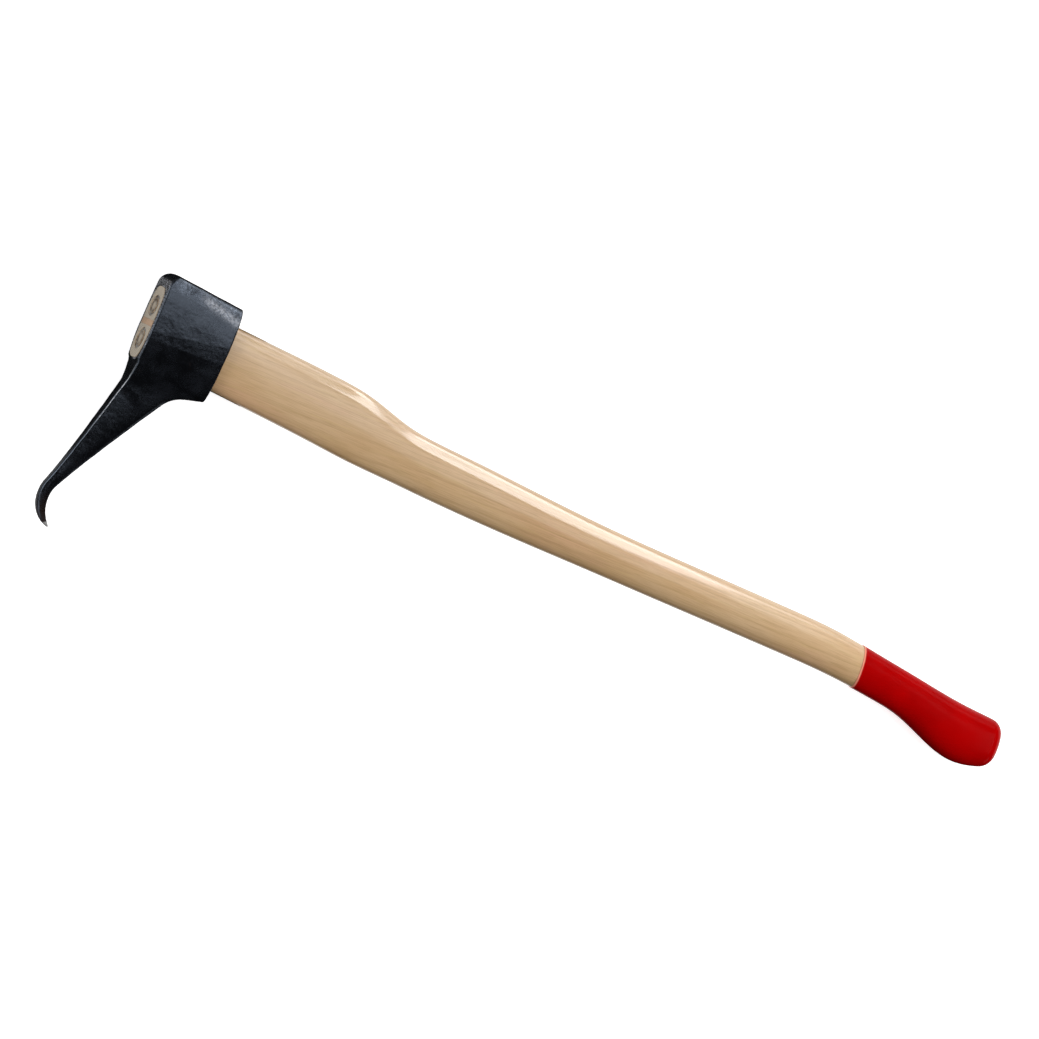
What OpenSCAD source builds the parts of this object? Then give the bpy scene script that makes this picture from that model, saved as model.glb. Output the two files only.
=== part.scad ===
// Log pick: a forged pick head wedged on a curved hickory haft with a dipped end.
// The tool lies on its side. The haft runs along +X, the back of the head faces +Y,
// the pick points to -Y, and Z is the thickness. The lowest cheek touches z = 0.
// All sizes are in millimetres.

/* [Eye] */
// Length of the eye at the end face
eye_len = 61; // [56:0.5:66]
// Length of the eye at the lower rim
eye_len_low = 55.8; // [52:0.2:60]
// Width of the eye at the end face
eye_w = 28.4; // [26:0.2:31]
// Width of the eye at the lower rim
eye_w_low = 25.6; // [24:0.2:28]
// Squareness of the eye's oval, 2 is an ellipse
eye_square = 3.6; // [2.2:0.1:4.2]
// Lean of the eye away from square to the end face, in degrees
eye_slant = 3; // [0:0.1:5]

/* [Socket] */
// Length of the socket along the haft
socket_len = 67.6; // [60:0.2:76]
// Thickness over the cheeks at the end face
socket_w = 38; // [36:0.5:44]
// Thickness over the cheeks at the lower rim
rim_w = 37; // [35:0.5:42]
// Wall behind the eye at the end face
poll_wall = 12.8; // [10:0.2:18]
// Wall behind the eye at the lower rim
poll_wall_low = 14; // [9:0.2:18]
// Wall in front of the eye at the lower rim
front_wall = 10.4; // [7:0.2:14]
// Width of the flat poll at the end face
poll_flat = 18; // [10:0.5:26]
// Width of the flat poll at the lower rim
poll_flat_low = 13; // [8:0.5:24]
// Radius of the corner between the end face and the poll
poll_r = 10; // [5:0.5:12]
// Radius of the cheek edges round the end face
end_edge_r = 1.6; // [1:0.1:3]
// Radius of the cheek edges round the lower rim
rim_edge_r = 1.2; // [0.5:0.1:3]
// Width of the front corner at the lower rim
corner_w = 16; // [10:0.5:22]
// Step from the end face down to the pick's outer face
land_drop = 1.6; // [0.5:0.1:3]

/* [Pick] */
// Distance of the pick's root from the end face, along the haft
root_x = 17; // [14:0.2:22]
// Distance of the pick's root from the eye's axis
root_drop = 58.8; // [56:0.2:64]
// Lean of the pick away from the haft, in degrees
pick_lean = 22.7; // [18:0.1:28]
// Length of the straight part of the pick
pick_len = 97; // [80:1:120]
// Depth of the pick at its root
root_depth = 35.8; // [30:0.2:38]
// Thickness of the pick at its root
root_w = 14.4; // [12:0.2:18]
// Depth of the pick where the hook starts
hook_depth = 10.3; // [8:0.1:14]
// Thickness of the pick where the hook starts
hook_w = 9; // [7:0.1:12]
// Radius of the hook's middle line
hook_r = 26; // [18:0.5:32]
// Turn of the hook, in degrees
hook_turn = 86; // [60:1:100]
// Depth of the blunt point
point_depth = 1.2; // [0.6:0.1:3]
// Thickness of the blunt point
point_w = 1.4; // [0.6:0.1:3]
// Radius of the two outer edges of the pick
pick_edge_r = 1.3; // [0.6:0.1:2]
// Radius of the two outer edges where the hook starts
hook_edge_r = 2.2; // [1:0.1:3]
// Radius of the hollow between the socket and the pick
web_r = 25; // [12:1:30]
// Rise of the socket's underside towards the pick, in degrees
web_slope = 16; // [8:1:22]
// Crown of the pick's two sides
side_crown = 0.7; // [0:0.1:1.5]

/* [Haft stations along the tool] */
// Distance from the head's end face to the knob's end, with its coat
tool_len = 800; // [700:10:1000]
// Distance from the end face to the heel, where the back starts its step
heel_at = 185; // [150:1:200]
// Distance from the end face to the saddle, behind the step
saddle_at = 250; // [230:1:270]
// Distance from the end face to the neck, where the haft starts to thin evenly
neck_at = 302; // [290:1:330]
// Place of the waist on the way from the neck to the grip
waist_share = 0.45; // [0.3:0.01:0.7]
// Distance from the knob's end to the middle of the grip
grip_len = 179; // [150:1:220]
// Distance from the knob's end to the wrist
wrist_len = 101; // [80:1:120]
// Distance from the knob's end to the knob's widest place
knob_len = 34; // [25:1:50]

/* [Haft back above the eye's axis] */
// Height of the back at the heel
heel_back = 17.4; // [10:0.1:22]
// Height of the back at the saddle
saddle_back = 3; // [-4:0.1:8]
// Height of the back at the neck
neck_back = 0.2; // [-6:0.1:6]
// Height of the back at the waist
waist_back = -7.1; // [-14:0.1:-3]
// Height of the back at the grip
grip_back = -9.2; // [-16:0.1:-4]
// Height of the back at the wrist
wrist_back = -17.5; // [-24:0.1:-12]
// Height of the back at the knob
knob_back = -25.5; // [-32:0.1:-20]
// Height of the back at the end
end_back = -27; // [-34:0.1:-24]

/* [Haft depth from back to belly] */
// Depth at the heel
heel_depth = 56.7; // [50:0.1:62]
// Depth at the saddle
saddle_depth = 45.1; // [40:0.1:50]
// Depth at the neck
neck_depth = 44; // [38:0.1:50]
// Depth at the waist
waist_depth = 37.4; // [33:0.1:42]
// Depth at the grip
grip_depth = 35.9; // [32:0.1:41]
// Depth at the wrist
wrist_depth = 33.4; // [29:0.1:38]
// Depth at the knob
knob_depth = 44.8; // [40:0.1:50]
// Depth at the end, before its edge is rounded
end_depth = 36; // [32:0.1:41]

/* [Haft thickness] */
// Thickness at the heel
heel_w = 25.4; // [23:0.1:29]
// Thickness at the saddle
saddle_w = 25.2; // [22:0.1:28]
// Thickness at the neck
neck_w = 25; // [22:0.1:28]
// Thickness at the waist
waist_w = 25; // [22:0.1:28]
// Thickness at the grip
grip_w = 25.6; // [22:0.1:29]
// Thickness at the wrist
wrist_w = 25.4; // [22:0.1:29]
// Thickness at the knob
knob_w = 31; // [27:0.1:35]
// Thickness at the end, before its edge is rounded
end_w = 27.5; // [24:0.1:31]
// Radius of the edge round the knob's end
end_r = 10; // [4:0.5:12]
// Squareness of the haft's oval behind the head, 2 is an ellipse
heel_square = 3; // [2.2:0.1:4]
// Squareness of the haft's oval at the grip
grip_square = 2.2; // [2:0.1:3]

/* [Dipped end] */
// Distance from the knob's end to the edge of the dip
dip_len = 136; // [100:1:160]
// Slant of the dip's edge, in degrees
dip_slant = 5.5; // [0:0.5:10]
// Slant of the knob's end, in degrees
end_slant = 5; // [0:0.5:8]
// Thickness of the dipped coat
coat_t = 0.6; // [0.3:0.1:1.5]

/* [Wedges] */
// Outer diameter of a ring wedge at its driven face
ring_d = 17.8; // [14:0.1:19]
// Wall of a ring wedge at its driven face
ring_wall = 2.2; // [1.6:0.1:3]
// Length of a ring wedge
ring_len = 13; // [8:0.5:20]
// Distance between the middles of the two ring wedges
ring_pitch = 28; // [26:0.2:32]
// Depth of the ring wedges below the end of the wood
ring_sink = 0.3; // [0:0.1:1]
// Thickness of the wooden cross wedge at the end of the wood
wedge_t = 5; // [3:0.1:7]
// Length of the cross wedge
wedge_len = 38; // [25:1:50]

/* [Fits] */
// Gap between the wood and the eye
eye_fit = 0.15; // [0.05:0.01:0.3]
// Gap between a wedge and the wood round it
wedge_fit = 0.06; // [0.02:0.01:0.2]
// Gap between the coat and the wood
coat_fit = 0.05; // [0.02:0.01:0.2]

/* [Hidden] */

// Points round an oval section, and segments round a ring wedge
oval_sides = 40;
ring_facets = 64;
// Segments in each rounded edge of the head
edge_steps = 4;
// Points along each side of the head between its edges
side_steps = 5;
// Turn between two rings round the poll, in degrees
poll_step = 7.5;
// Rings along the web: from the lower rim to the hollow, and round the hollow
under_steps = 4;
hollow_steps = 5;
// Rings along the straight part of the pick
straight_steps = 13;
// Turn between two rings of the hook, in degrees
hook_step = 5.5;
// Distance between the rings of the haft
haft_step = 13;
// Turn between two rings round the knob's end, in degrees
end_step = 15;
// Thickness left at the thin edge of a wedge
wedge_edge = 0.5;
// How far a cut runs past a face
past = 1;

// Small helpers
function lerp(a, b, t) = a + (b - a) * t;
function clamp01(t) = min(1, max(0, t));
function ease(t) = let (c = clamp01(t)) c * c * (3 - 2 * c);
function heading(a) = [cos(a), sin(a)];
function cross2(a, b) = a[0] * b[1] - a[1] * b[0];
// The point where the line from p along u meets the line from q along v
function meet(p, u, q, v) = p + u * cross2(q - p, v) / cross2(u, v);
// A cubic curve from a to d with the handles b and c
function bezier(a, b, c, d, t) =
    pow(1 - t, 3) * a + 3 * pow(1 - t, 2) * t * b + 3 * (1 - t) * t * t * c + pow(t, 3) * d;

// A smooth curve through knots [place, value], with no bulge past a knot
function chord(k, i) = (k[i + 1][1] - k[i][1]) / (k[i + 1][0] - k[i][0]);
function knot_slope(k, i) =
    i == 0 ? chord(k, 0) :
    i == len(k) - 1 ? chord(k, i - 1) :
    chord(k, i - 1) * chord(k, i) <= 0 ? 0 :
    2 * chord(k, i - 1) * chord(k, i) / (chord(k, i - 1) + chord(k, i));
function knot_span(k, x) = max([0, for (i = [0 : len(k) - 2]) if (x >= k[i][0]) i]);
function through(k, x) =
    let (
        i = knot_span(k, x),
        h = k[i + 1][0] - k[i][0],
        t = clamp01((x - k[i][0]) / h),
        from = knot_slope(k, i) * h,
        to = knot_slope(k, i + 1) * h
    )
    (1 + 2 * t) * pow(1 - t, 2) * k[i][1] + t * pow(1 - t, 2) * from
    + t * t * (3 - 2 * t) * k[i + 1][1] + t * t * (t - 1) * to;

// A closed solid skinned over rings of equal length
module skin(rings) {
    n = len(rings[0]);
    last = len(rings) - 1;
    points = [for (r = rings) each r];
    sides = [
        for (i = [0 : last - 1], j = [0 : n - 1])
            let (
                a = i * n + j,
                b = i * n + (j + 1) % n,
                c = (i + 1) * n + (j + 1) % n,
                d = (i + 1) * n + j
            )
            each [[a, c, b], [a, d, c]]
    ];
    caps = [
        [for (j = [0 : n - 1]) j],
        [for (j = [n - 1 : -1 : 0]) last * n + j]
    ];
    polyhedron(points, concat(sides, caps), convexity = 6);
}

// An oval ring across the haft, leaning by a slant in degrees
function signed_pow(v, p) = sign(v) * pow(abs(v), p);
function oval(x, y, half_depth, half_w, square, slant = 0) = [
    for (i = [0 : oval_sides - 1])
        let (
            a = 360 * i / oval_sides,
            dy = half_depth * signed_pow(cos(a), 2 / square),
            dz = half_w * signed_pow(sin(a), 2 / square)
        )
        [x - dy * tan(slant), y + dy, dz]
];

// Eye of the head. A gap above zero gives the wood that fills it.
function eye_y(x) = -x * tan(eye_slant);
function eye_ring(x, gap = 0) = oval(
    x,
    eye_y(x),
    lerp(eye_len, eye_len_low, x / socket_len) / 2 - gap,
    lerp(eye_w, eye_w_low, x / socket_len) / 2 - gap,
    eye_square
);

// A ring of the head between its outer edge point and its inner edge point.
// Each end has a half thickness and an edge radius, and the sides may be crowned.
function head_ring(outer, inner, outer_w, inner_w, outer_r, inner_r, crown = 0) =
    let (
        depth = norm(inner - outer),
        along = (inner - outer) / depth,
        half = [
            for (k = [0 : edge_steps])
                let (a = 90 * k / edge_steps)
                [outer_r * (1 - cos(a)), outer_w - outer_r * (1 - sin(a))],
            for (k = [1 : side_steps])
                let (f = k / (side_steps + 1))
                [
                    lerp(outer_r, depth - inner_r, f),
                    lerp(outer_w, inner_w, f) + 4 * crown * f * (1 - f)
                ],
            for (k = [0 : edge_steps])
                let (a = 90 * k / edge_steps)
                [depth - inner_r * (1 - sin(a)), inner_w - inner_r * (1 - cos(a))]
        ],
        last = len(half) - 1
    )
    [
        for (p = half) [outer[0] + along[0] * p[0], outer[1] + along[1] * p[0], -p[1]],
        for (i = [last : -1 : 0])
            let (p = half[i])
            [outer[0] + along[0] * p[0], outer[1] + along[1] * p[0], p[1]]
    ];

// Socket outline: heights of its corners above the eye's axis
poll_y = eye_len / 2 + poll_wall;
poll_y_low = eye_y(socket_len) + eye_len_low / 2 + poll_wall_low;
corner_y = eye_y(socket_len) - eye_len_low / 2 - front_wall;
// The end face is flat down to here, and steps down over two rings at this pitch
land_y = -eye_len / 2 + 1;
land_pitch = 2.2;
// Widest places of the two cheek outlines
cheek_y = -5.6;
cheek_y_low = 6;
// Squareness of the cheek outlines towards the poll
poll_square = 3.4;
poll_square_low = 2.2;

// Middle line of the pick, which leaves the socket on the side that this heading points to
pick_way = 270;
root = [root_x, -root_drop];
pick_dir = heading(pick_way - pick_lean);
pick_side = heading(-pick_lean);
hook_start = root + pick_dir * pick_len;
hook_middle = hook_start + pick_side * hook_r;
// Depth and thickness of the pick. Place 0 is the root and 1 is where the hook starts.
depth_fade = 1.23;
function pick_depth(t) = lerp(hook_depth, root_depth, pow(1 - t, depth_fade));
function pick_half_w(t) = lerp(root_w, hook_w, t) / 2;
// Fullness of the hook, which keeps its size and then closes quickly to the point
hook_fade = 2.4;
hook_round = 0.85;

// The cheeks draw in from the socket to the pick's outer face over this length
neck_len = 54;
function outer_half_w(y, t) =
    lerp(socket_w / 2, pick_half_w(clamp01(t)), ease((cheek_y - y) / neck_len));
// The inner side of the pick is a little narrower than its outer face, and nearly half round
inner_share = 0.82;
inner_round = 0.9;

root_outer = root - pick_side * root_depth / 2;
root_inner = root + pick_side * root_depth / 2;
// Half of the angle between the pick's two edges at its root
root_taper = atan((root_depth - hook_depth) * depth_fade / pick_len / 2);

// Rings round the poll, down to the widest place of the cheeks
poll_rings = [
    for (b = [90 : -poll_step : 0])
        let (
            s = pow(sin(b), 2 / poll_square),
            s_low = pow(sin(b), 2 / poll_square_low),
            y = lerp(cheek_y, poll_y, s),
            y_low = lerp(cheek_y_low, poll_y_low, s_low),
            rise = max(0, y - poll_y + poll_r)
        )
        head_ring(
            [poll_r - sqrt(poll_r * poll_r - rise * rise), y],
            [socket_len, y_low],
            lerp(poll_flat, socket_w, pow(cos(b), 2 / poll_square)) / 2,
            lerp(poll_flat_low, rim_w, pow(cos(b), 2 / poll_square_low)) / 2,
            end_edge_r,
            rim_edge_r
        )
];

// Rings from there to the front corner, at these turns round the cheek. The first four end on
// the flat end face and the last two step down from it.
front_turns = [18, 36, 54, 70, 81, 90];
flat_rings = 4;
front_rings = [
    for (i = [0 : len(front_turns) - 1])
        let (
            b = front_turns[i],
            drops = max(0, i + 1 - flat_rings),
            y = drops > 0
                ? land_y - land_pitch * drops
                : lerp(cheek_y, land_y, (i + 1) / flat_rings),
            y_low = lerp(cheek_y_low, corner_y, sin(b))
        )
        head_ring(
            [land_drop * sin(45 * drops), y],
            [socket_len, y_low],
            outer_half_w(y, 0),
            lerp(corner_w, rim_w, cos(b)) / 2,
            lerp(end_edge_r, pick_edge_r, drops / 2),
            rim_edge_r
        )
];

// Rings of the web, along the hollow between the lower rim and the pick
corner = [socket_len, corner_y];
under_dir = heading(180 + web_slope);
inner_dir = heading(pick_way - pick_lean - root_taper);
hollow = meet(corner, under_dir, root_inner, inner_dir);
hollow_turn = 90 - pick_lean - root_taper - web_slope;
hollow_tangent = web_r * tan(hollow_turn / 2);
hollow_start = hollow - under_dir * hollow_tangent;
hollow_centre = hollow_start + heading(pick_way + web_slope) * web_r;
web_outer_start = [land_drop, land_y - 2 * land_pitch];
outer_dir = heading(pick_way - pick_lean + root_taper);
root_inner_w = outer_half_w(root_outer[1], 0) * inner_share;
web_handle = norm(root_outer - web_outer_start) / 3;
web_path = [
    for (k = [1 : under_steps - 1]) lerp(corner, hollow_start, k / under_steps),
    for (k = [0 : hollow_steps])
        hollow_centre + heading(90 + web_slope + hollow_turn * k / hollow_steps) * web_r
];
web_rings = [
    for (i = [0 : len(web_path) - 1])
        let (
            t = (i + 1) / (len(web_path) + 1),
            outer = bezier(
                web_outer_start,
                web_outer_start + [0, -web_handle],
                root_outer - outer_dir * web_handle,
                root_outer,
                t
            ),
            inner_w = lerp(corner_w / 2, root_inner_w, t)
        )
        head_ring(
            outer,
            web_path[i],
            outer_half_w(outer[1], 0),
            inner_w,
            pick_edge_r,
            lerp(rim_edge_r, inner_w * inner_round, ease(t)),
            side_crown * t
        )
];

// A ring across the pick, at a point of its middle line. The side vector points to its inner
// edge. Near the point, its edges shrink with it.
function pick_ring(middle, side, depth, half_w, edge_r) =
    let (inner_w = half_w * inner_share)
    head_ring(
        middle - side * depth / 2,
        middle + side * depth / 2,
        half_w,
        inner_w,
        min(edge_r, half_w * 0.5, depth * 0.35),
        min(inner_w * inner_round, depth * 0.5),
        min(side_crown, half_w * 0.15)
    );

straight_rings = [
    for (k = [0 : straight_steps - 1])
        let (
            t = k / straight_steps,
            middle = lerp(root, hook_start, t),
            depth = pick_depth(t)
        )
        pick_ring(
            middle,
            pick_side,
            depth,
            outer_half_w((middle - pick_side * depth / 2)[1], t),
            lerp(pick_edge_r, hook_edge_r, t)
        )
];

hook_steps = ceil(hook_turn / hook_step);
hook_rings = [
    for (k = [0 : hook_steps])
        let (
            t = k / hook_steps,
            side = heading(-pick_lean + hook_turn * t),
            full = pow(1 - pow(t, hook_fade), hook_round)
        )
        pick_ring(
            hook_middle - side * hook_r,
            side,
            lerp(point_depth, hook_depth, full),
            lerp(point_w, hook_w, full) / 2,
            hook_edge_r
        )
];
head_rings = concat(poll_rings, front_rings, web_rings, straight_rings, hook_rings);

// Stations of the haft along the tool
haft_len = tool_len - coat_t;
grip_at = tool_len - grip_len;
waist_at = lerp(neck_at, grip_at, waist_share);
wrist_at = tool_len - wrist_len;
knob_at = tool_len - knob_len;
dip_at = tool_len - dip_len;

// Haft outline, as knots [place, value] along the tool
back_knots = [
    [socket_len, eye_y(socket_len) + eye_len_low / 2 - eye_fit],
    [heel_at, heel_back],
    [saddle_at, saddle_back],
    [neck_at, neck_back],
    [waist_at, waist_back],
    [grip_at, grip_back],
    [wrist_at, wrist_back],
    [knob_at, knob_back],
    [haft_len, end_back]
];
depth_knots = [
    [socket_len, eye_len_low - 2 * eye_fit],
    [heel_at, heel_depth],
    [saddle_at, saddle_depth],
    [neck_at, neck_depth],
    [waist_at, waist_depth],
    [grip_at, grip_depth],
    [wrist_at, wrist_depth],
    [knob_at, knob_depth],
    [haft_len, end_depth]
];
width_knots = [
    [socket_len, eye_w_low - 2 * eye_fit],
    [heel_at, heel_w],
    [saddle_at, saddle_w],
    [neck_at, neck_w],
    [waist_at, waist_w],
    [grip_at, grip_w],
    [wrist_at, wrist_w],
    [knob_at, knob_w],
    [haft_len, end_w]
];
square_knots = [
    [socket_len, eye_square],
    [heel_at, heel_square],
    [waist_at, grip_square],
    [haft_len, grip_square]
];
// Each ring leans over, so that its belly lies further along than its back
slant_knots = [
    [grip_at, 0],
    [dip_at, dip_slant],
    [haft_len, end_slant]
];

// A ring of the haft. The turn goes from 0 to 90 round the knob's edge, and grow lifts the
// ring off the wood.
function haft_ring(x, turn = 0, grow = 0) =
    let (
        drop = end_r * (1 - cos(turn)) - grow * cos(turn),
        depth = through(depth_knots, x)
    )
    oval(
        x + grow * sin(turn),
        through(back_knots, x) - depth / 2,
        depth / 2 - drop,
        through(width_knots, x) / 2 - drop,
        through(square_knots, x),
        through(slant_knots, x)
    );

// Places of rings from one station up to the next
function places(from, to) =
    let (n = ceil((to - from) / haft_step)) [for (i = [0 : n - 1]) lerp(from, to, i / n)];
edge_at = haft_len - end_r;

// Rings of the haft under the dip, or of the coat's skin at a height above the wood
function dipped_rings(grow = 0) = [
    for (x = places(dip_at, edge_at)) haft_ring(x, 0, grow),
    for (a = [0 : end_step : 90]) haft_ring(edge_at + end_r * sin(a), a, grow)
];

// The tongue fills the eye, and the haft goes on from it
haft_rings = concat(
    [for (x = places(0, socket_len)) eye_ring(x, eye_fit)],
    [for (x = places(socket_len, dip_at)) haft_ring(x)],
    dipped_rings()
);

// Lean of a ring wedge's outside towards its axis, over its length
ring_lean = 0.5;
// Profile of a ring wedge as [radius, depth], grown by a gap for its seat in the wood
function ring_profile(gap = 0) =
    let (
        outer = ring_d / 2 + gap,
        inner = ring_d / 2 - ring_wall - gap,
        tip = ring_sink + ring_len + gap
    )
    [
        [inner, ring_sink],
        [outer, ring_sink],
        [outer - ring_lean, tip],
        [outer - ring_lean - wedge_edge - 2 * gap, tip]
    ];

// Outline of the cross wedge seen along Z, grown by a gap for the kerf
function wedge_outline(gap = 0) = [
    [0, wedge_t / 2 + gap],
    [wedge_len + gap, wedge_edge / 2 + gap],
    [wedge_len + gap, -wedge_edge / 2 - gap],
    [0, -wedge_t / 2 - gap]
];

// Whole tool's corners, which give the middle of its base
all_points = concat([for (r = head_rings) each r], [for (r = dipped_rings(coat_t)) each r]);
low_x = min([for (p = all_points) p[0]]);
high_x = max([for (p = all_points) p[0]]);
low_y = min([for (p = all_points) p[1]]);
high_y = max([for (p = all_points) p[1]]);
low_z = min([for (p = all_points) p[2]]);

module placed() {
    translate([-(low_x + high_x) / 2, -(low_y + high_y) / 2, -low_z]) children();
}

// Forged head: socket, web, pick and hook in one piece, pierced by the eye
module head() {
    color("#23262b") placed() difference() {
        skin(head_rings);
        skin([for (x = [-past, socket_len + past]) eye_ring(x)]);
    }
}

// Turned about the axis of the ring wedge on one side of the cross wedge
module at_ring(side) {
    translate([0, side * ring_pitch / 2, 0]) rotate([0, 90, 0])
        rotate_extrude($fn = ring_facets) children();
}

// Seat of a ring wedge, open at the end of the wood
module ring_seat(side) {
    at_ring(side) {
        polygon(ring_profile(wedge_fit));
        translate([ring_d / 2 - ring_wall - wedge_fit, -past])
            square([ring_wall + 2 * wedge_fit, past + ring_sink]);
    }
}

// Saw kerf across the tongue, filled by the cross wedge
module kerf() {
    linear_extrude(height = 2 * eye_w, center = true) {
        polygon(wedge_outline(wedge_fit));
        translate([-past, -wedge_t / 2 - wedge_fit]) square([past, wedge_t + 2 * wedge_fit]);
    }
}

// Hickory haft with its tongue, the kerf and the two ring seats
module haft() {
    color("#d8b583") placed() difference() {
        skin(haft_rings);
        ring_seat(1);
        ring_seat(-1);
        kerf();
    }
}

// Hardwood wedge across the tongue, between the two ring wedges. Its ends lie flush with the
// tongue's two sides.
module cross_wedge() {
    color("#a9794f") placed() intersection() {
        linear_extrude(height = eye_w, center = true) polygon(wedge_outline());
        skin([for (x = [0, socket_len]) eye_ring(x, eye_fit)]);
    }
}

// Steel ring driven into the end of the tongue
module ring_wedge(side) {
    color("#8d8f91") placed() at_ring(side) polygon(ring_profile());
}

// Red dipped coat over the knob, a thin cup with a slanted lip
module dip_coat() {
    inside = dipped_rings(coat_fit);
    turned = [for (i = [len(inside) - 1 : -1 : 0]) inside[i]];
    color("#b60a10") placed() skin(concat(turned, dipped_rings(coat_t)));
}

head();
haft();
cross_wedge();
ring_wedge(1);  // ring_wedge_back
ring_wedge(-1);  // ring_wedge_front
dip_coat();
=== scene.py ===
# Looks, light and camera for the log pick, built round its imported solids
import math

import bmesh
import bpy
import numpy as np
from mathutils import Matrix, Vector, noise
from mathutils.bvhtree import BVHTree


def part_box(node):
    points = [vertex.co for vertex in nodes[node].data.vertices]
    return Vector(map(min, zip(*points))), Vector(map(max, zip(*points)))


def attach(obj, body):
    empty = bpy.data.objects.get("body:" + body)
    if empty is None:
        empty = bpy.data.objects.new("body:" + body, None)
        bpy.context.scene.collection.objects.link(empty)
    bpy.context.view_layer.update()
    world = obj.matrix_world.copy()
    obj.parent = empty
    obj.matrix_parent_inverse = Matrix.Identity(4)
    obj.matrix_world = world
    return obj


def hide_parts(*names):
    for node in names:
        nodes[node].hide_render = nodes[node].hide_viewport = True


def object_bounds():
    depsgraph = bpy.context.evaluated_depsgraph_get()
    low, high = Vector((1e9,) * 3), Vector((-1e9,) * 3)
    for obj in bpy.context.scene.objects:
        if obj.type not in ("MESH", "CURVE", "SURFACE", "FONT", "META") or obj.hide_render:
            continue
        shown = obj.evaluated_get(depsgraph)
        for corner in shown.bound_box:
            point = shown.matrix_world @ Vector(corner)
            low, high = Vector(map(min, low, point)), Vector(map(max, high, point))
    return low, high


mm = 0.001

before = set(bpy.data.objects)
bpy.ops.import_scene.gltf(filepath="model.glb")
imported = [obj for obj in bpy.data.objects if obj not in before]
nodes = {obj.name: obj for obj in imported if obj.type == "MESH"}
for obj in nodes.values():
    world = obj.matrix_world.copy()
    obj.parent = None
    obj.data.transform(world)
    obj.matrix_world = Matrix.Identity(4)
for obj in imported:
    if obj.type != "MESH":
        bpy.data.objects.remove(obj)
cadBox = [list(corner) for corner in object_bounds()]
print("frame loaded")

meshLook = {
    "joinWithin": 0.002 * mm,   # points this near each other become one
    "flatWithin": 12,           # degrees between two triangles that become one face
    "skewWithin": 60,           # degrees that its corners may be off a right angle
}


def copyOf(nodeName, pieceName):
    # a node's mesh with its triangles joined back into flat faces
    piece = bpy.data.objects.new(pieceName, nodes[nodeName].data.copy())
    piece.data.name = pieceName
    piece.data.materials.clear()
    bpy.context.scene.collection.objects.link(piece)
    shape = bmesh.new()
    shape.from_mesh(piece.data)
    bmesh.ops.remove_doubles(shape, verts=shape.verts, dist=meshLook["joinWithin"])
    bmesh.ops.join_triangles(
        shape, faces=shape.faces,
        angle_face_threshold=math.radians(meshLook["flatWithin"]),
        angle_shape_threshold=math.radians(meshLook["skewWithin"]))
    bmesh.ops.recalc_face_normals(shape, faces=shape.faces)
    shape.to_mesh(piece.data)
    shape.free()
    if piece.data.has_custom_normals:
        bpy.context.view_layer.objects.active = piece
        bpy.ops.mesh.customdata_custom_splitnormals_clear()
    return piece


def applyModifiers(piece):
    bpy.context.view_layer.update()
    finished = bpy.data.meshes.new_from_object(
        piece.evaluated_get(bpy.context.evaluated_depsgraph_get()))
    piece.modifiers.clear()
    piece.data = finished
    finished.name = piece.name


def rounded(piece, width, segments=2, angle=35):
    bevel = piece.modifiers.new("rounded", "BEVEL")
    bevel.width = width
    bevel.segments = segments
    bevel.limit_method = "ANGLE"
    bevel.angle_limit = math.radians(angle)


def refined(piece, levels):
    subsurf = piece.modifiers.new("refined", "SUBSURF")
    subsurf.levels = subsurf.render_levels = levels
    subsurf.boundary_smooth = "PRESERVE_CORNERS"


def creased(piece, angle):
    # edges that turn by more than this angle stay sharp when refined
    shape = bmesh.new()
    shape.from_mesh(piece.data)
    layers = shape.edges.layers.float
    crease = layers.get("crease_edge") or layers.new("crease_edge")
    for edge in shape.edges:
        if len(edge.link_faces) == 2 and edge.calc_face_angle() > math.radians(angle):
            edge[crease] = 1
    shape.to_mesh(piece.data)
    shape.free()


def shadeSmooth(piece, angle=40):
    piece.data.polygons.foreach_set("use_smooth", [True] * len(piece.data.polygons))
    piece.data.set_sharp_from_angle(angle=math.radians(angle))


def vectorsOf(items, name):
    flat = np.empty(len(items) * 3, dtype=np.float32)
    items.foreach_get(name, flat)
    return flat.reshape(-1, 3)


def pointsOf(mesh):
    return vectorsOf(mesh.vertices, "co")


def normalsOf(mesh):
    return vectorsOf(mesh.vertex_normals, "vector")


def setPoints(mesh, points):
    mesh.vertices.foreach_set("co", np.asarray(points, dtype=np.float32).ravel())
    mesh.update()


def setMask(mesh, name, values):
    layer = mesh.attributes.new(name, "FLOAT", "POINT")
    layer.data.foreach_set("value", np.asarray(values, dtype=np.float32))


def smoothStep(low, high, values):
    part = np.clip((values - low) / (high - low), 0, 1)
    return part * part * (3 - 2 * part)


def bulge(mesh, rounds, settle=0.6):
    # how far each point stands out from its neighbours, averaged over some rounds
    points, normals = pointsOf(mesh), normalsOf(mesh)
    pairs = np.empty(len(mesh.edges) * 2, dtype=np.int32)
    mesh.edges.foreach_get("vertices", pairs)
    first, second = pairs.reshape(-1, 2).T
    total = len(points)
    neighbours = np.maximum(np.bincount(pairs, minlength=total), 1)

    def average(forFirst, forSecond):
        added = np.bincount(first, forFirst, total) + np.bincount(second, forSecond, total)
        return added / neighbours

    span = points[first] - points[second]
    length = np.linalg.norm(span, axis=1) + 1e-9
    lean = np.einsum("ij,ij->i", normals[first], span) / length
    leanBack = -np.einsum("ij,ij->i", normals[second], span) / length
    value = average(lean, leanBack)
    for _ in range(rounds):
        value = (1 - settle) * value + settle * average(value[second], value[first])
    return value


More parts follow.
